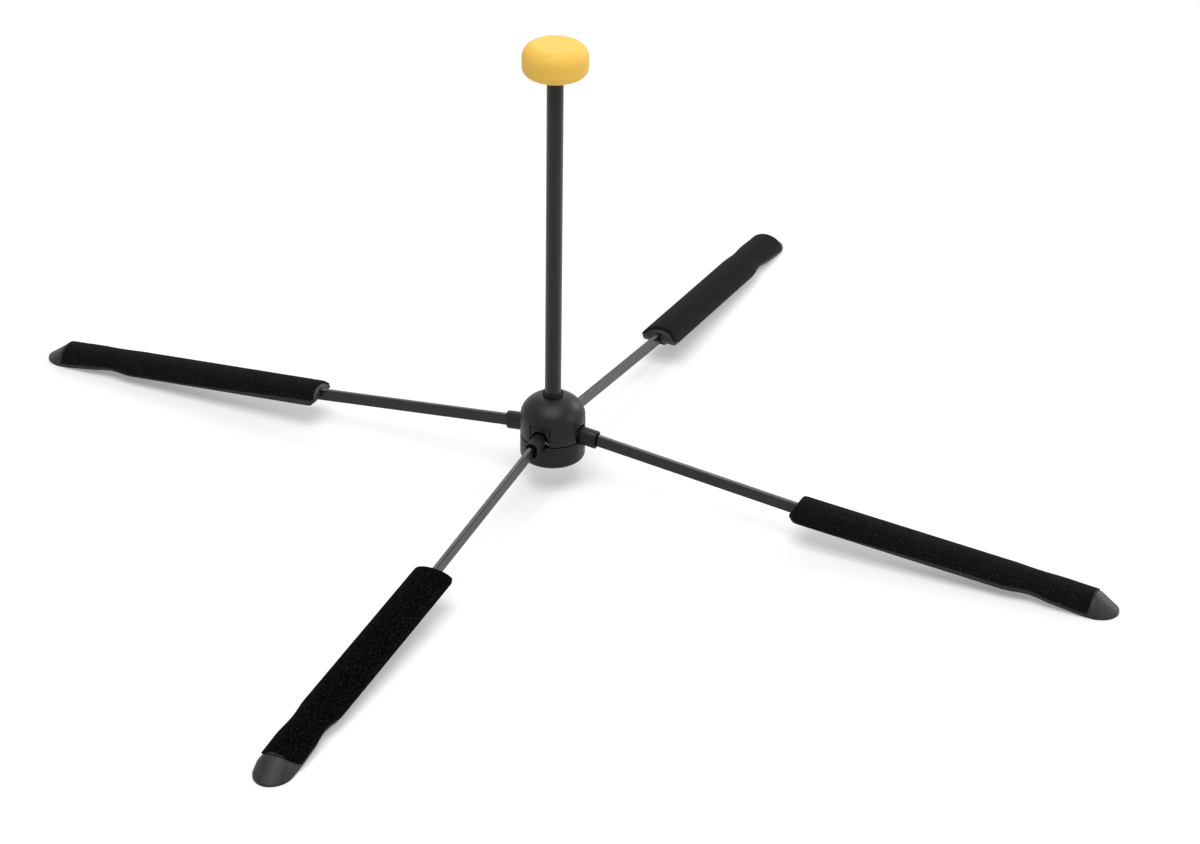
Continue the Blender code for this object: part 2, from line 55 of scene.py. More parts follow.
# Hub and hood
HUB_R = 0.0220
HUB_BOTTOM_Z = 0.0184
HUB_EDGE = 0.0030
HUB_BREAK = 0.0004
SEAM = 0.0008
SEAM_Z = 0.0354
BASE_FLOOR = 0.0030
BASE_WALL = 0.0020
NOTCH_GAP = 0.0004
HOOD_WALL = 0.0020
HOOD_WAIST_Z = 0.0490
HOOD_TOP_Z = 0.0643
HOOD_MOUTH_R = 0.0068
WINDOW_HALF = 0.0073
WINDOW_TOP_Z = 0.0491
LINER_WALL = 0.0020
LINER_SET = 0.0003
LINER_GAP = 0.0004
LINER_Z = 0.0402
LINER_BREAK = 0.0003
ARCH_GAP = 0.0012
SCREW_R = 0.0017
SCREW_HEAD_R = 0.0036
SCREW_RECESS = 0.0028    # depth of the base's recess for the screw's head

# Hinge, knuckle and bar
PIVOT_R = 0.0173
PIVOT_Z = 0.0362
PIN_R = 0.0014
EYE_R = 0.0040
EYE_HALF = 0.0030
KNUCKLE_START_R = 0.0205
KNUCKLE_END_R = 0.0330
KNUCKLE_HALF = (0.0045, 0.0064)
KNUCKLE_ROUND = 0.0007
MOUTH_DEPTH = 0.0040
MOUTH_WALL = 0.0009
BAR_LIFT = 0.00274
BAR_TIP_Z = -0.00240
BAR_W = 0.0032
BAR_H = 0.0081
BAR_START_R = 0.0245

# Sleeve and velvet
PAD_L = 0.2235
PAD_DROP = 0.0070
PAD_TIP_Z = 0.0002
PAD_HALF = 0.0139
FOOT_HALF = 0.0135
PAD_H = 0.0120
VELVET_T = 0.0008
VELVET_HEM = 0.0019
VELVET_END = 0.0008
END_CHAMFER = 0.0035
END_SLANT = 0.0040
END_ROUND = 0.0030
WAIST_BACK = (0.0750, 0.0390)
WAIST_RISE = 0.0011
WAIST_PINCH = 0.0016
SOLE_L = 0.0120
NOSE_L = 0.0145

# How each cover was laid on: the height of the bare strip below it at the inner end, in the middle and at
# the foot, on the left and right side of the leg as seen from the post
USUAL_STRIP = (0.0019, 0.0022, 0.0034)
LEFT_STRIP = {"left": (0.0046, 0.0020, 0.0034)}
RIGHT_STRIP = {"right": (0.0012, 0.0038, 0.0034)}
STRIP_MIDDLE = 0.55                   # share of the length at which the middle height is reached
CORNER_CUT = {"front": 0.0, "right": 0.006, "back": 0.006, "left": 0.009}   # off its low inner corners
CORNER_CUT_HEIGHT = 0.55              # share of the crown's height up to which the cut goes
FRAY_L = 0.0016                       # frayed edge at the nose
NOSE_CUT = {"front": 0.010, "right": 0.0025, "back": 0.0, "left": 0.0010}     # off its corners at the nose

# Soft cap
CAP_R = 0.02165
CAP_BOTTOM_Z = 0.2975
CAP_H = 0.0210
CAP_EDGE_TOP = 0.0085
CAP_EDGE_LOW = 0.0060
CAP_BORE_R = 0.0058


# Effects that several materials share

def group_socket(tree, name, kind, output=False, default=None):
    where = "OUTPUT" if output else "INPUT"
    socket = tree.interface.new_socket(name, in_out=where, socket_type=kind)
    if default is not None:
        socket.default_value = default
    return socket


def make_grain_group():
    """Fine moulded or sprayed grain: a normal, and a mask that follows the same grain."""
    tree = bpy.data.node_groups.new("surface_grain", "ShaderNodeTree")
    group_socket(tree, "Scale", "NodeSocketFloat", default=2500.0)
    group_socket(tree, "Strength", "NodeSocketFloat", default=0.2)
    group_socket(tree, "Depth", "NodeSocketFloat", default=0.0001)
    group_socket(tree, "Normal", "NodeSocketVector", output=True)
    group_socket(tree, "Mask", "NodeSocketFloat", output=True)
    nodes, links = tree.nodes, tree.links
    source = nodes.new("NodeGroupInput")
    target = nodes.new("NodeGroupOutput")
    place = nodes.new("ShaderNodeTexCoord")
    noise_node = nodes.new("ShaderNodeTexNoise")
    noise_node.inputs["Detail"].default_value = 3.0
    bump = nodes.new("ShaderNodeBump")
    links.new(place.outputs["Object"], noise_node.inputs["Vector"])
    links.new(source.outputs["Scale"], noise_node.inputs["Scale"])
    links.new(source.outputs["Strength"], bump.inputs["Strength"])
    links.new(source.outputs["Depth"], bump.inputs["Distance"])
    links.new(noise_node.outputs["Fac"], bump.inputs["Height"])
    links.new(bump.outputs["Normal"], target.inputs["Normal"])
    links.new(noise_node.outputs["Fac"], target.inputs["Mask"])
    return tree


def make_streak_group():
    """Long soft streaks along one axis, as drawn or sprayed metal has them."""
    tree = bpy.data.node_groups.new("drawn_streaks", "ShaderNodeTree")
    group_socket(tree, "Stretch", "NodeSocketVector", default=(1.0, 1.0, 0.02))
    group_socket(tree, "Scale", "NodeSocketFloat", default=700.0)
    group_socket(tree, "Mask", "NodeSocketFloat", output=True)
    nodes, links = tree.nodes, tree.links
    source = nodes.new("NodeGroupInput")
    target = nodes.new("NodeGroupOutput")
    place = nodes.new("ShaderNodeTexCoord")
    mapping = nodes.new("ShaderNodeMapping")
    noise_node = nodes.new("ShaderNodeTexNoise")
    noise_node.inputs["Detail"].default_value = 4.0
    links.new(place.outputs["Object"], mapping.inputs["Vector"])
    links.new(source.outputs["Stretch"], mapping.inputs["Scale"])
    links.new(mapping.outputs["Vector"], noise_node.inputs["Vector"])
    links.new(source.outputs["Scale"], noise_node.inputs["Scale"])
    links.new(noise_node.outputs["Fac"], target.inputs["Mask"])
    return tree


GRAIN = make_grain_group()
STREAKS = make_streak_group()


# Materials

def new_material(name):
    mat = bpy.data.materials.new(name)
    mat.use_nodes = True
    nodes = mat.node_tree.nodes
    return mat, nodes, mat.node_tree.links, nodes["Principled BSDF"]


def add_grain(nodes, links, shader, scale, strength, depth):
    grain = nodes.new("ShaderNodeGroup")
    grain.node_tree = GRAIN
    grain.inputs["Scale"].default_value = scale
    grain.inputs["Strength"].default_value = strength
    grain.inputs["Depth"].default_value = depth
    links.new(grain.outputs["Normal"], shader.inputs["Normal"])
    return grain


def add_streaks(nodes, stretch, scale):
    streaks = nodes.new("ShaderNodeGroup")
    streaks.node_tree = STREAKS
    streaks.inputs["Stretch"].default_value = stretch
    streaks.inputs["Scale"].default_value = scale
    return streaks


def ramp(nodes, links, value, low, high, start=0.35, end=0.65):
    node = nodes.new("ShaderNodeValToRGB")
    node.color_ramp.elements[0].position = start
    node.color_ramp.elements[1].position = end
    node.color_ramp.elements[0].color = low
    node.color_ramp.elements[1].color = high
    links.new(value, node.inputs["Fac"])
    return node


def grey(value):
    return (value, value, value, 1.0)


def tinted(colour, factor):
    return tuple(c * factor for c in colour) + (1.0,)


def moulded_material(name, colour, rough, specular, grain_scale=2600.0, mottle=0.25):
    """Black moulded plastic with a fine spark-eroded grain."""
    mat, nodes, links, shader = new_material(name)
    grain = add_grain(nodes, links, shader, grain_scale, 0.35, 0.00008)
    tint = ramp(nodes, links, grain.outputs["Mask"], tinted(colour, 1.0 - mottle), tinted(colour, 1.0 + mottle))
    links.new(tint.outputs["Color"], shader.inputs["Base Color"])
    gloss = ramp(nodes, links, grain.outputs["Mask"], grey(rough - 0.06), grey(rough + 0.06))
    links.new(gloss.outputs["Color"], shader.inputs["Roughness"])
    shader.inputs["Specular IOR Level"].default_value = specular
    return mat


def painted_material(name, colour, rough, specular, sheen, stretch):
    """Satin black paint over drawn metal, whose streaks show faintly."""
    mat, nodes, links, shader = new_material(name)
    add_grain(nodes, links, shader, 900.0, 0.10, 0.00006)
    streaks = add_streaks(nodes, stretch, 900.0)
    tint = ramp(nodes, links, streaks.outputs["Mask"], tinted(colour, 0.6), tinted(colour, 1.5))
    links.new(tint.outputs["Color"], shader.inputs["Base Color"])
    gloss = ramp(nodes, links, streaks.outputs["Mask"], grey(rough - 0.08), grey(rough + 0.08))
    links.new(gloss.outputs["Color"], shader.inputs["Roughness"])
    shader.inputs["Specular IOR Level"].default_value = specular
    shader.inputs["Sheen Weight"].default_value = sheen
    shader.inputs["Sheen Roughness"].default_value = 0.5
    return mat


def steel_material():
    mat, nodes, links, shader = new_material("bright_steel")
    shader.inputs["Metallic"].default_value = 1.0
    grain = add_grain(nodes, links, shader, 3000.0, 0.1, 0.00003)
    tint = ramp(nodes, links, grain.outputs["Mask"], (0.60, 0.60, 0.61, 1.0), (0.78, 0.78, 0.79, 1.0))
    links.new(tint.outputs["Color"], shader.inputs["Base Color"])
    gloss = ramp(nodes, links, grain.outputs["Mask"], grey(0.18), grey(0.32))
    links.new(gloss.outputs["Color"], shader.inputs["Roughness"])
    return mat


def velvet_material(name, ground, sheen):
    """Short black pile with pale specks, nearly without gloss, and lighter where it frays at the nose."""
    mat, nodes, links, shader = new_material(name)
    grain = add_grain(nodes, links, shader, 1200.0, 0.9, 0.0004)
    # The ground tone is given per leg and carries painted light and shade
    tint = ramp(nodes, links, grain.outputs["Mask"], grey(ground), grey(0.034),
                0.56, 0.76)
    frayed = ramp(nodes, links, grain.outputs["Mask"], grey(0.006), grey(0.11), 0.40, 0.62)
    place = nodes.new("ShaderNodeTexCoord")
    positive = nodes.new("ShaderNodeVectorMath")
    positive.operation = "ABSOLUTE"
    split = nodes.new("ShaderNodeSeparateXYZ")
    reach = nodes.new("ShaderNodeMath")
    reach.operation = "MAXIMUM"
    fray = nodes.new("ShaderNodeMapRange")
    cut_line = LEG_REACH - NOSE_L - VELVET_END
    fray.inputs["From Min"].default_value = cut_line - FRAY_L
    fray.inputs["From Max"].default_value = cut_line
    mix = nodes.new("ShaderNodeMix")
    mix.data_type = "RGBA"
    links.new(place.outputs["Object"], positive.inputs[0])
    links.new(positive.outputs["Vector"], split.inputs["Vector"])
    links.new(split.outputs["X"], reach.inputs[0])
    links.new(split.outputs["Y"], reach.inputs[1])
    links.new(reach.outputs["Value"], fray.inputs["Value"])
    links.new(fray.outputs["Result"], mix.inputs["Factor"])
    links.new(tint.outputs["Color"], mix.inputs["A"])
    links.new(frayed.outputs["Color"], mix.inputs["B"])
    links.new(mix.outputs["Result"], shader.inputs["Base Color"])
    gloss = ramp(nodes, links, grain.outputs["Mask"], grey(0.95), grey(0.75))
    links.new(gloss.outputs["Color"], shader.inputs["Roughness"])
    shader.inputs["Sheen Weight"].default_value = sheen
    shader.inputs["Sheen Roughness"].default_value = 0.50
    shader.inputs["Specular IOR Level"].default_value = 0.0
    return mat


def cap_material():
    mat, nodes, links, shader = new_material("soft_yellow")
    grain = add_grain(nodes, links, shader, 1500.0, 0.25, 0.0001)
    tint = ramp(nodes, links, grain.outputs["Mask"], (0.72, 0.425, 0.050, 1.0), (0.78, 0.475, 0.070, 1.0))
    links.new(tint.outputs["Color"], shader.inputs["Base Color"])
    gloss = ramp(nodes, links, grain.outputs["Mask"], grey(0.56), grey(0.68))
    links.new(gloss.outputs["Color"], shader.inputs["Roughness"])
    shader.inputs["Specular IOR Level"].default_value = 0.50
    return mat


HUB_PLASTIC = moulded_material("hub_plastic", (0.0055, 0.0055, 0.0060), 0.41, 0.23)
FOOT_PLASTIC = moulded_material("foot_plastic", (0.011, 0.011, 0.0115), 0.50, 0.30, 1200.0, 0.8)
RUBBER = moulded_material("black_rubber", (0.004, 0.004, 0.004), 0.75, 0.20)
TUBE_PAINT = painted_material("painted_tube", (0.009, 0.009, 0.0095), 0.40, 0.18, 0.24, (1.0, 1.0, 0.015))
BAR_PAINT = {"x": painted_material("painted_bar_x", (0.005, 0.005, 0.0055), 0.24, 0.34, 0.0, (0.015, 1.0, 1.0)),
             "y": painted_material("painted_bar_y", (0.005, 0.005, 0.0055), 0.24, 0.34, 0.0, (1.0, 0.015, 1.0))}
STEEL = steel_material()
# Painted light and shade: one velvet in four copies, the front one with its ground and sheen painted darker, the
# right and left ones paler and the back one palest, for how the light falls on each leg
VELVET_SHADED_COPIES = {"front": velvet_material("black_velvet_front_painted_dark", 0.0005, 0.022),
          "right": velvet_material("black_velvet_right_painted_pale", 0.0048, 0.050),
          "back": velvet_material("black_velvet_back_painted_palest", 0.0050, 0.080),
          "left": velvet_material("black_velvet_left_painted_pale", 0.0048, 0.050)}
YELLOW = cap_material()

CAD_FINISH = {"hub_core": HUB_PLASTIC, "base_screw": STEEL, "hood_bush": RUBBER, "post_tube": TUBE_PAINT,
              "foot_plug": STEEL, "cap_plug": HUB_PLASTIC}
for side in LEG_ANGLES:
    CAD_FINISH["hinge_pin_" + side] = STEEL
    CAD_FINISH["leg_bar_" + side] = BAR_PAINT["x" if side in ("right", "left") else "y"]


def dress(ob, mat):
    ob.data.materials.clear()
    ob.data.materials.append(mat)


for node_name, finish in CAD_FINISH.items():
    dress(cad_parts[node_name], finish)


# Modelling helpers

def deselect_all():
    if bpy.context.object and bpy.context.object.mode != "OBJECT":
        bpy.ops.object.mode_set(mode="OBJECT")
    bpy.ops.object.select_all(action="DESELECT")


def make_active(ob):
    deselect_all()
    ob.select_set(True)
    bpy.context.view_layer.objects.active = ob


def new_piece(name):
    """Names the primitive that was just added, and puts its place into its mesh."""
    ob = bpy.context.object
    ob.name = name
    bpy.ops.object.transform_apply(location=True, rotation=True, scale=True)
    return ob


def edit_where(ob, kind, test):
    """Goes into edit mode with just those edges, faces or vertices selected that pass a test."""
    make_active(ob)
    bpy.ops.object.mode_set(mode="EDIT")
    bpy.ops.mesh.select_mode(type={"vertices": "VERT", "edges": "EDGE", "polygons": "FACE"}[kind])
    bpy.ops.mesh.select_all(action="DESELECT")
    bpy.ops.object.mode_set(mode="OBJECT")
    for part in getattr(ob.data, kind):
        part.select = test(part)
    bpy.ops.object.mode_set(mode="EDIT")


def edge_heights(ob, edge):
    return [ob.data.vertices[i].co.z for i in edge.vertices]


def apply_modifier(ob, name):
    make_active(ob)
    bpy.ops.object.modifier_apply(modifier=name)


def cut(ob, cutter, operation="DIFFERENCE"):
    """Boolean with another piece, which is used up."""
    mod = ob.modifiers.new("Cut", "BOOLEAN")
    mod.operation = operation
    mod.object = cutter
    apply_modifier(ob, "Cut")
    bpy.data.objects.remove(cutter)


def soften(ob, width, segments=3, angle=30.0):
    """Rounds all sharp edges slightly, so that they catch the light."""
    mod = ob.modifiers.new("Soft edges", "BEVEL")
    mod.limit_method = "ANGLE"
    mod.angle_limit = math.radians(angle)
    mod.width = width
    mod.segments = segments
    mod.use_clamp_overlap = False
    apply_modifier(ob, "Soft edges")
    bpy.ops.object.shade_smooth_by_angle(angle=math.radians(angle))


def turned(ob, degrees):
    """Turns a piece about the post's axis, in its mesh."""
    ob.data.transform(Matrix.Rotation(math.radians(degrees), 4, "Z"))


def copy_of(ob, name):
    twin = ob.copy()
    twin.data = ob.data.copy()
    twin.name = name
    bpy.context.scene.collection.objects.link(twin)
    return twin


def settle(ob, mat, body, replaced):
    dress(ob, mat)
    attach(ob, body)
    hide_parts(replaced)


def block(name, low, high):
    deselect_all()
    middle = [(a + b) / 2 for a, b in zip(low, high)]
    bpy.ops.mesh.primitive_cube_add(size=1.0, location=middle)
    bpy.context.object.scale = [b - a for a, b in zip(low, high)]
    return new_piece(name)


def rod(name, radius, low, high, vertices=48):
    """Upright round bar on the post's axis."""
    deselect_all()
    bpy.ops.mesh.primitive_cylinder_add(vertices=vertices, radius=radius, depth=high - low,
                                        location=(0, 0, 0.5 * (low + high)))
    return new_piece(name)


# The right leg's bar line, and solids that lie along it

BAR_SLOPE = (PIVOT_Z + BAR_LIFT - BAR_TIP_Z) / (LEG_REACH - PIVOT_R)


def bar_z(r):
    return PIVOT_Z + BAR_LIFT - BAR_SLOPE * (r - PIVOT_R)


def laid_on_bar(ob, start, end):
    """Moves a piece that lies along X, centred on the origin, onto the bar's line."""
    middle = 0.5 * (start + end)
    tilt = Matrix.Rotation(math.atan(BAR_SLOPE), 4, "Y")
    ob.data.transform(Matrix.Translation((middle, 0, bar_z(middle))) @ tilt)
    return ob


def oval_rod(name, start, end, half_w, half_h):
    """Rod of oval section along the bar's line: a round one, with its upper and lower halves drawn apart."""
    steps = 48
    deselect_all()
    length = (end - start) * math.hypot(1.0, BAR_SLOPE)
    bpy.ops.mesh.primitive_cylinder_add(vertices=steps, radius=half_w, depth=length)
    # Half a step of turn leaves no point on the line between the two halves
    bpy.context.object.rotation_euler = (0.0, math.radians(90.0), 0.0)
    ob = new_piece(name)
    ob.data.transform(Matrix.Rotation(math.pi / steps, 4, "X"))
    for sign in (1, -1):
        edit_where(ob, "vertices", lambda v: v.co.z * sign > 0)
        bpy.ops.transform.translate(value=(0, 0, sign * (half_h - half_w)))
    bpy.ops.object.mode_set(mode="OBJECT")
    return laid_on_bar(ob, start, end)


def bar_box(name, start, end, half_w, half_h):
    length = (end - start) * math.hypot(1.0, BAR_SLOPE)
    ob = block(name, (-0.5 * length, -half_w, -half_h), (0.5 * length, half_w, half_h))
    return laid_on_bar(ob, start, end)


def cross_rod(name, radius, half, vertices=48):
    """Rod along the right leg's hinge."""
    deselect_all()
    bpy.ops.mesh.primitive_cylinder_add(vertices=vertices, radius=radius, depth=2 * half,
                                        location=(PIVOT_R, 0, PIVOT_Z), rotation=(math.radians(90.0), 0, 0))
    return new_piece(name)


# Hub

def make_hood():
    """Dome drawn from a squashed sphere, with a skirt, a wall and four windows."""
    deselect_all()
    bpy.ops.mesh.primitive_uv_sphere_add(segments=96, ring_count=64, radius=HUB_R, location=(0, 0, HOOD_WAIST_Z))
    ob = new_piece("hood_shell")
    rise = (HOOD_TOP_Z - HOOD_WAIST_Z) / math.sqrt(1.0 - (HOOD_MOUTH_R / HUB_R) ** 2)
    waist = (0, 0, HOOD_WAIST_Z)
    bpy.ops.object.mode_set(mode="EDIT")
    bpy.ops.mesh.select_all(action="SELECT")
    bpy.ops.transform.resize(value=(1, 1, rise / HUB_R), center_override=waist)
    bpy.ops.mesh.bisect(plane_co=waist, plane_no=(0, 0, 1), clear_inner=True, threshold=1e-6)
    bpy.ops.mesh.select_all(action="SELECT")
    bpy.ops.mesh.bisect(plane_co=(0, 0, HOOD_TOP_Z), plane_no=(0, 0, 1), clear_outer=True, threshold=1e-6)
    edit_where(ob, "edges", lambda e: max(edge_heights(ob, e)) < HOOD_WAIST_Z + 1e-6)
    bpy.ops.mesh.extrude_region_move(TRANSFORM_OT_translate={"value": (0, 0, SEAM_Z - HOOD_WAIST_Z)})
    bpy.ops.mesh.select_all(action="SELECT")
    bpy.ops.mesh.normals_make_consistent(inside=False)
    bpy.ops.object.mode_set(mode="OBJECT")
    wall = ob.modifiers.new("Wall", "SOLIDIFY")
    wall.thickness = HOOD_WALL
    wall.offset = -1.0
    apply_modifier(ob, "Wall")
    for name, reach in (("window_x", (2 * HUB_R, WINDOW_HALF)), ("window_y", (WINDOW_HALF, 2 * HUB_R))):
        x, y = reach
        cut(ob, block(name, (-x, -y, 0.5 * SEAM_Z), (x, y, WINDOW_TOP_Z)))
    soften(ob, HUB_BREAK)
    settle(ob, HUB_PLASTIC, "hood", "hood")


def make_liner():
    """Ring behind the hood's skirt, with a pad in each window and an arch over each knuckle."""
    ring = HUB_R - HOOD_WALL - FIT
    top = WINDOW_TOP_Z - LINER_GAP
    reach = WINDOW_HALF - LINER_GAP
    ob = rod("liner_ring", HUB_R - LINER_SET, LINER_Z, top, 96)
    cut(ob, rod("liner_bore", ring - LINER_WALL, 0.5 * LINER_Z, 2 * top, 96))
    between = rod("between_pads", 2 * HUB_R, 0.5 * LINER_Z, 2 * top, 96)
    cut(between, rod("between_bore", ring, 0.4 * LINER_Z, 3 * top, 96))
    cut(between, block("pads_x", (-3 * HUB_R, -reach, 0.3 * LINER_Z), (3 * HUB_R, reach, 4 * top)))
    cut(between, block("pads_y", (-reach, -3 * HUB_R, 0.3 * LINER_Z), (reach, 3 * HUB_R, 4 * top)))
    cut(ob, between)
    half_w, half_h = (half + ARCH_GAP for half in KNUCKLE_HALF)
    for side, angle in LEG_ANGLES.items():
        arch = oval_rod("arch_" + side, 0.7 * HUB_R, 1.5 * HUB_R, half_w, half_h)
        turned(arch, angle)
        cut(ob, arch)
    soften(ob, LINER_BREAK)
    settle(ob, HUB_PLASTIC, "hood", "hood_liner")


def make_base():
    """Cup with a rounded foot, a recess for the screw, and a notch that follows each knuckle."""
    top = SEAM_Z - SEAM
    ob = rod("base_cup", HUB_R, HUB_BOTTOM_Z, top, 96)
    edit_where(ob, "edges", lambda e: max(edge_heights(ob, e)) < HUB_BOTTOM_Z + 1e-5)
    bpy.ops.mesh.bevel(offset=HUB_EDGE, segments=10, profile=0.5, affect="EDGES")
    edit_where(ob, "polygons", lambda f: f.normal.z > 0.99)
    bpy.ops.mesh.inset(thickness=BASE_WALL)
    bpy.ops.mesh.extrude_region_move(TRANSFORM_OT_translate={"value": (0, 0, HUB_BOTTOM_Z + BASE_FLOOR - top)})
    bpy.ops.object.mode_set(mode="OBJECT")
    cut(ob, rod("screw_recess", SCREW_HEAD_R + FIT, HUB_BOTTOM_Z - BASE_FLOOR, HUB_BOTTOM_Z + SCREW_RECESS))
    cut(ob, rod("screw_hole", SCREW_R + FIT, HUB_BOTTOM_Z, HUB_BOTTOM_Z + 2 * BASE_FLOOR))
    half_w, half_h = (half + NOTCH_GAP for half in KNUCKLE_HALF)
    for side, angle in LEG_ANGLES.items():
        notch = oval_rod("notch_" + side, 0.7 * HUB_R, 1.5 * HUB_R, half_w, half_h)
        turned(notch, angle)
        cut(ob, notch)
    soften(ob, HUB_BREAK)
    settle(ob, HUB_PLASTIC, "root", "hub_base")


def make_knuckles():
    """Oval hinge end with a rounded mouth for the bar and an eye for the pin, once for each leg."""
    half_w, half_h = KNUCKLE_HALF
    ob = oval_rod("knuckle_model", KNUCKLE_START_R, KNUCKLE_END_R, half_w, half_h)
    edit_where(ob, "polygons", lambda f: f.normal.x > 0.9)
    bpy.ops.mesh.inset(thickness=MOUTH_WALL)
    bpy.ops.mesh.extrude_region_move(TRANSFORM_OT_translate={"value": (-MOUTH_DEPTH, 0, MOUTH_DEPTH * BAR_SLOPE)})
    bpy.ops.object.mode_set(mode="OBJECT")
    cut(ob, bar_box("bar_bore", BAR_START_R - FIT, KNUCKLE_END_R, 0.5 * BAR_W + FIT, 0.5 * BAR_H + FIT))
    cut(ob, cross_rod("eye", EYE_R, EYE_HALF), "UNION")
    cut(ob, cross_rod("eye_bore", PIN_R + FIT, 2 * EYE_HALF, 24))
    soften(ob, KNUCKLE_ROUND, 4)
    for side, angle in LEG_ANGLES.items():
        twin = copy_of(ob, "knuckle_body_" + side)
        turned(twin, angle)
        settle(twin, HUB_PLASTIC, "leg_" + side, "knuckle_" + side)
    bpy.data.objects.remove(ob)


# Sleeve

def make_sleeves():
    """The solids' own sleeves, merged, and shaded smooth where their faces meet at small angles."""
    for side in LEG_ANGLES:
        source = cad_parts["pad_shell_" + side]
        ob = bpy.data.objects.new("sleeve_" + side, source.data.copy())
        bpy.context.scene.collection.objects.link(ob)
        make_active(ob)
        bpy.ops.object.mode_set(mode="EDIT")
        bpy.ops.mesh.select_all(action="SELECT")
        bpy.ops.mesh.remove_doubles(threshold=1e-6)
        bpy.ops.mesh.dissolve_limited(angle_limit=math.radians(0.5))
        bpy.ops.object.mode_set(mode="OBJECT")
        bpy.ops.object.shade_smooth_by_angle(angle=math.radians(24.0))
        settle(ob, FOOT_PLASTIC, "leg_" + side, "pad_shell_" + side)


def pad_line(r):
    inner = PIVOT_Z + BAR_LIFT - PAD_DROP
    return inner + (PAD_TIP_Z - inner) * r / LEG_REACH


def ease(x):
    x = min(max(x, 0.0), 1.0)
    return x * x * (3.0 - 2.0 * x)


def waist_share(r):
    start, end = (LEG_REACH - back for back in WAIST_BACK)
    return min(max((r - start) / (end - start), 0.0), 1.0)


def waist(r):
    return math.sin(math.pi * waist_share(r)) ** 2


def pad_edge(r):
    foot = LEG_REACH - WAIST_BACK[1]
    sole = LEG_REACH - SOLE_L
    return pad_line(r) * (1.0 - ease((r - foot) / (sole - foot))) + WAIST_RISE * waist(r)


def half_width(r):
    return PAD_HALF - (PAD_HALF - FOOT_HALF) * ease(waist_share(r)) - WAIST_PINCH * waist(r)


def end_round(r):
    left = 1.0 - min((r - (LEG_REACH - PAD_L)) / END_ROUND, 1.0)
    return 0.5 * END_ROUND * (1.0 - math.sqrt(max(1.0 - left ** 2, 0.0)))


def end_setback(up):
    corner = 0.35
    if up < corner:
        return END_CHAMFER * (1.0 - up / corner)
    return END_SLANT * (up - corner) / (1.0 - corner)


def strip_height(heights, along, r):
    inner, middle, foot = heights
    return inner + (middle - inner) * ease(along / STRIP_MIDDLE) + (foot - middle) * ease(waist_share(r))


def wrap_angle(height, arch):
    """Where an edge of the cover ends: along the arch, or straight below it when the angle is negative."""
    share = (height - VELVET_HEM) / arch
    return math.asin(share) if share > 0.0 else share


def velvet_point(side, along, across):
    """Outer side of a cover: along it from 0 to 1, and across it from 0 to 1."""
    start = LEG_REACH - PAD_L
    end = LEG_REACH - NOSE_L - VELVET_END
    r = start + (end - start) * along
    arch = pad_line(r) + PAD_H - pad_edge(r) - VELVET_HEM
    left = wrap_angle(strip_height(LEFT_STRIP.get(side, USUAL_STRIP), along, r), arch)
    right = wrap_angle(strip_height(RIGHT_STRIP.get(side, USUAL_STRIP), along, r), arch)
    angle = left + (math.pi - right - left) * across
    up = min(angle, math.pi - angle)
    height = math.sin(up) if up > 0.0 else up
    corner = max(1.0 - (VELVET_HEM + arch * height) / (CORNER_CUT_HEIGHT * (VELVET_HEM + arch)), 0.0)
    r += (1.0 - along) * CORNER_CUT[side] * corner - along * NOSE_CUT[side] * (1.0 - max(height, 0.0))
    low = pad_edge(r)
    high = pad_line(r) + PAD_H
    foot = low + VELVET_HEM
    z = foot + (high - end_round(r) - foot) * height
    width = (half_width(r) - 0.5 * end_round(r)) * (math.cos(angle) if up > 0.0 else math.copysign(1.0, math.cos(angle)))
    fade = 1.0 - ease((r - start - END_ROUND) / (4.0 * END_ROUND))
    back = fade * end_setback((z - low) / (high - low))
    return Vector((r + back, width, z + pad_line(r + back) - pad_line(r)))


def make_velvet(side, angle):
    """Thin sheet that is bent round the sleeve, with a slightly uneven cut edge."""
    steps_along, steps_round = 220, 40
    deselect_all()
    bpy.ops.mesh.primitive_grid_add(x_subdivisions=steps_along, y_subdivisions=steps_round, size=1.0)
    ob = bpy.context.object
    ob.name = "velvet_cover_" + side
    for v in ob.data.vertices:
        along, across = v.co.x + 0.5, 0.5 - v.co.y
        place = velvet_point(side, along, across)
        # Pile that leans unevenly at the cut edges, and lies smooth in between
        near_edge = max(0.0, 1.0 - 40.0 * min(along, 1.0 - along), 1.0 - 12.0 * min(across, 1.0 - across))
        stray = noise.noise_vector(place * 900.0 + Vector((angle, 0, 0)))
        v.co = place + 0.00012 * near_edge * stray
    turned(ob, angle)
    solid = ob.modifiers.new("Thickness", "SOLIDIFY")
    solid.thickness = VELVET_T - 0.0001
    solid.offset = -1.0
    apply_modifier(ob, "Thickness")
    soften(ob, 0.00025, 2, 60.0)
    settle(ob, VELVET_SHADED_COPIES[side], "leg_" + side, "velvet_" + side)


# Cap

def make_cap():
    middle = CAP_BOTTOM_Z + 0.5 * CAP_H
    ob = rod("cap_soft", CAP_R, CAP_BOTTOM_Z, CAP_BOTTOM_Z + CAP_H, 96)
    edit_where(ob, "edges", lambda e: min(edge_heights(ob, e)) > middle)
    bpy.ops.mesh.bevel(offset=CAP_EDGE_TOP, segments=12, profile=0.5, affect="EDGES")
    edit_where(ob, "edges", lambda e: max(edge_heights(ob, e)) < CAP_BOTTOM_Z + 1e-5)
    bpy.ops.mesh.bevel(offset=CAP_EDGE_LOW, segments=10, profile=0.5, affect="EDGES")
    bpy.ops.object.mode_set(mode="OBJECT")
    cut(ob, rod("cap_bore", CAP_BORE_R, CAP_BOTTOM_Z - CAP_EDGE_LOW, CAP_BOTTOM_Z + CAP_EDGE_LOW))
    make_active(ob)
    bpy.ops.object.shade_smooth_by_angle(angle=math.radians(40))
    settle(ob, YELLOW, "root", "soft_cap")


make_hood()
make_liner()
make_base()
make_knuckles()
make_sleeves()
for side, angle in LEG_ANGLES.items():
    make_velvet(side, angle)
make_cap()


# Floor, light and camera

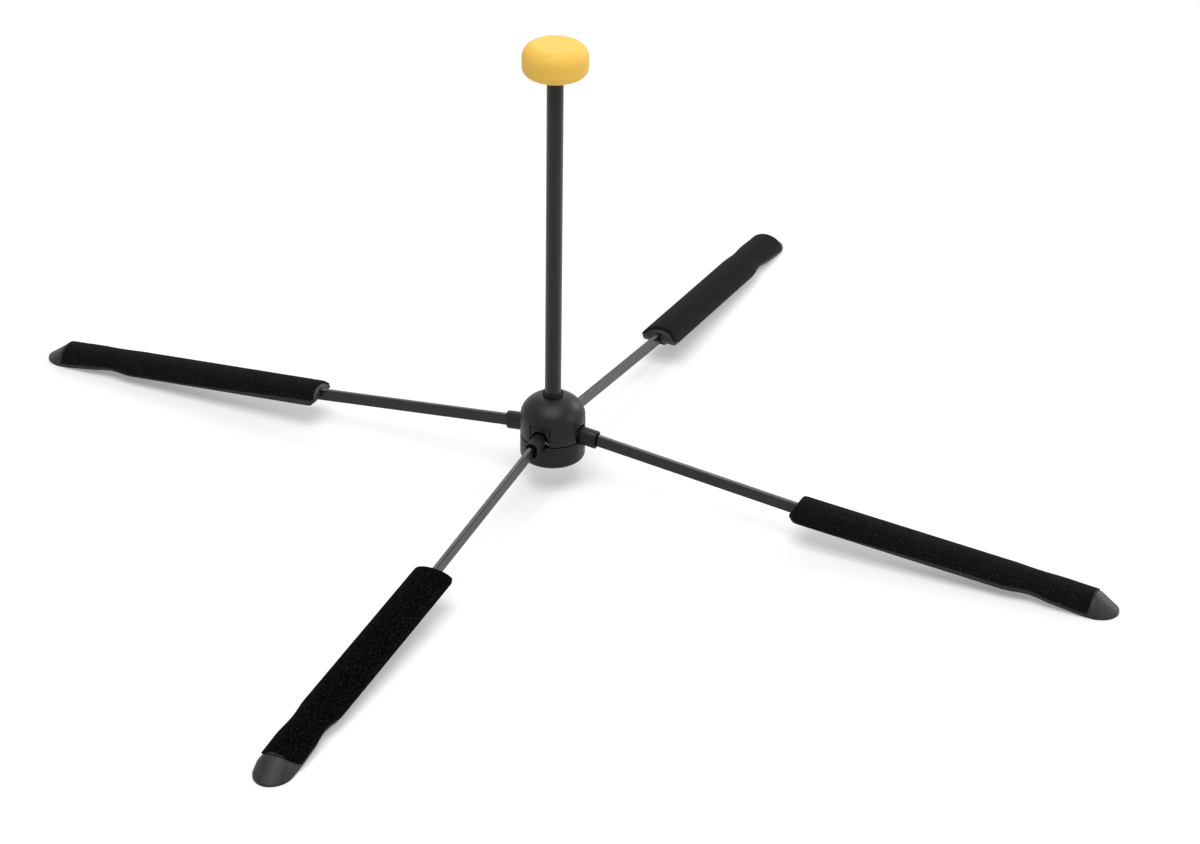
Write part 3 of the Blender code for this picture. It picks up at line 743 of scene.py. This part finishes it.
def seen_rays(nodes, links, share):
    """A share of 1 for what the camera sees, directly, in a reflection or through glass, and 0 for other light."""
    path = nodes.new("ShaderNodeLightPath")
    total = path.outputs["Is Camera Ray"]
    for kind in ("Is Glossy Ray", "Is Transmission Ray"):
        either = nodes.new("ShaderNodeMath")
        either.operation = "MAXIMUM"
        links.new(total, either.inputs[0])
        links.new(path.outputs[kind], either.inputs[1])
        total = either.outputs[0]
    scaled = nodes.new("ShaderNodeMath")
    scaled.operation = "MULTIPLY"
    scaled.inputs[1].default_value = share
    links.new(total, scaled.inputs[0])
    return scaled.outputs[0]


def make_floor():
    """White floor. Part of it shines for the camera, which keeps it white and its shadows light."""
    deselect_all()
    bpy.ops.mesh.primitive_plane_add(size=30.0)
    floor = bpy.context.object
    floor.name = "floor"
    mat, nodes, links, shader = new_material("floor_white")
    shader.inputs["Base Color"].default_value = (0.93, 0.93, 0.93, 1.0)
    shader.inputs["Roughness"].default_value = 0.9
    shader.inputs["Specular IOR Level"].default_value = 0.1
    glow = nodes.new("ShaderNodeEmission")
    glow.inputs["Color"].default_value = (1.0, 1.0, 1.0, 1.0)
    place = nodes.new("ShaderNodeTexCoord")
    distance = nodes.new("ShaderNodeVectorMath")
    distance.operation = "LENGTH"
    links.new(place.outputs["Object"], distance.inputs[0])
    share = nodes.new("ShaderNodeMapRange")
    for socket, value in zip(("From Min", "From Max", "To Min", "To Max"), (*GLOW_RADII, FLOOR_GLOW, 1.0)):
        share.inputs[socket].default_value = value
    links.new(distance.outputs["Value"], share.inputs["Value"])
    seen = nodes.new("ShaderNodeMath")
    seen.operation = "MULTIPLY"
    links.new(seen_rays(nodes, links, 1.0), seen.inputs[0])
    links.new(share.outputs["Result"], seen.inputs[1])
    mix = nodes.new("ShaderNodeMixShader")
    links.new(seen.outputs["Value"], mix.inputs["Fac"])
    links.new(shader.outputs["BSDF"], mix.inputs[1])
    links.new(glow.outputs["Emission"], mix.inputs[2])
    links.new(mix.outputs["Shader"], nodes["Material Output"].inputs["Surface"])
    dress(floor, mat)


FLOOR_GLOW = 0.28          # share of glow below the stand, which grows to 1 between these radii
GLOW_RADII = (0.45, 0.9)
WORLD_LIGHT = 0.28       # what the surroundings give as light; they are seen as white


def make_world():
    world = bpy.data.worlds.new("studio")
    bpy.context.scene.world = world
    world.use_nodes = True
    nodes, links = world.node_tree.nodes, world.node_tree.links
    background = nodes["Background"]
    background.inputs["Color"].default_value = (1.0, 1.0, 1.0, 1.0)
    strength = nodes.new("ShaderNodeMath")
    strength.operation = "ADD"
    strength.inputs[1].default_value = WORLD_LIGHT
    links.new(seen_rays(nodes, links, 1.0 - WORLD_LIGHT), strength.inputs[0])
    links.new(strength.outputs[0], background.inputs["Strength"])


def area_light(name, place, size, watts, aim=(0.0, 0.0, 0.05)):
    data = bpy.data.lights.new(name, "AREA")
    data.shape = "RECTANGLE"
    data.size, data.size_y = size
    data.energy = watts
    lamp = bpy.data.objects.new(name, data)
    bpy.context.scene.collection.objects.link(lamp)
    lamp.location = place
    direction = Vector(aim) - Vector(place)
    lamp.rotation_euler = direction.to_track_quat("-Z", "Y").to_euler()
    return lamp


def make_camera():
    a, e, roll = (math.radians(v) for v in (VIEW_AZIMUTH, VIEW_ELEVATION, VIEW_ROLL))
    back = Vector((math.sin(a) * math.cos(e), -math.cos(a) * math.cos(e), math.sin(e)))
    right = Vector((0.0, 0.0, 1.0)).cross(back).normalized()
    up = back.cross(right)
    right, up = (math.cos(roll) * right + math.sin(roll) * up, -math.sin(roll) * right + math.cos(roll) * up)
    data = bpy.data.cameras.new("photo_camera")
    data.sensor_fit = "HORIZONTAL"
    data.sensor_width = SENSOR_MM
    data.lens = LENS_MM
    data.clip_end = 100.0
    camera = bpy.data.objects.new("photo_camera", data)
    bpy.context.scene.collection.objects.link(camera)
    place = right * VIEW_RIGHT + up * VIEW_UP + back * VIEW_DISTANCE
    turn = Matrix((right, up, back)).transposed().to_4x4()
    camera.matrix_world = Matrix.Translation(place) @ turn
    bpy.context.scene.camera = camera


make_floor()
make_world()
area_light("key_over", (0.15, -0.60, 2.15), (1.7, 1.7), 42.0)
area_light("gloss_back", (-0.9, 2.0, 1.7), (1.6, 1.1), 16.0)
area_light("gloss_right", (1.0, 1.9, 1.05), (0.8, 0.8), 16.0)
area_light("side_right", (2.10, 0.30, 0.80), (0.8, 0.8), 9.0)
make_camera()
bpy.context.scene.view_settings.view_transform = "Standard"
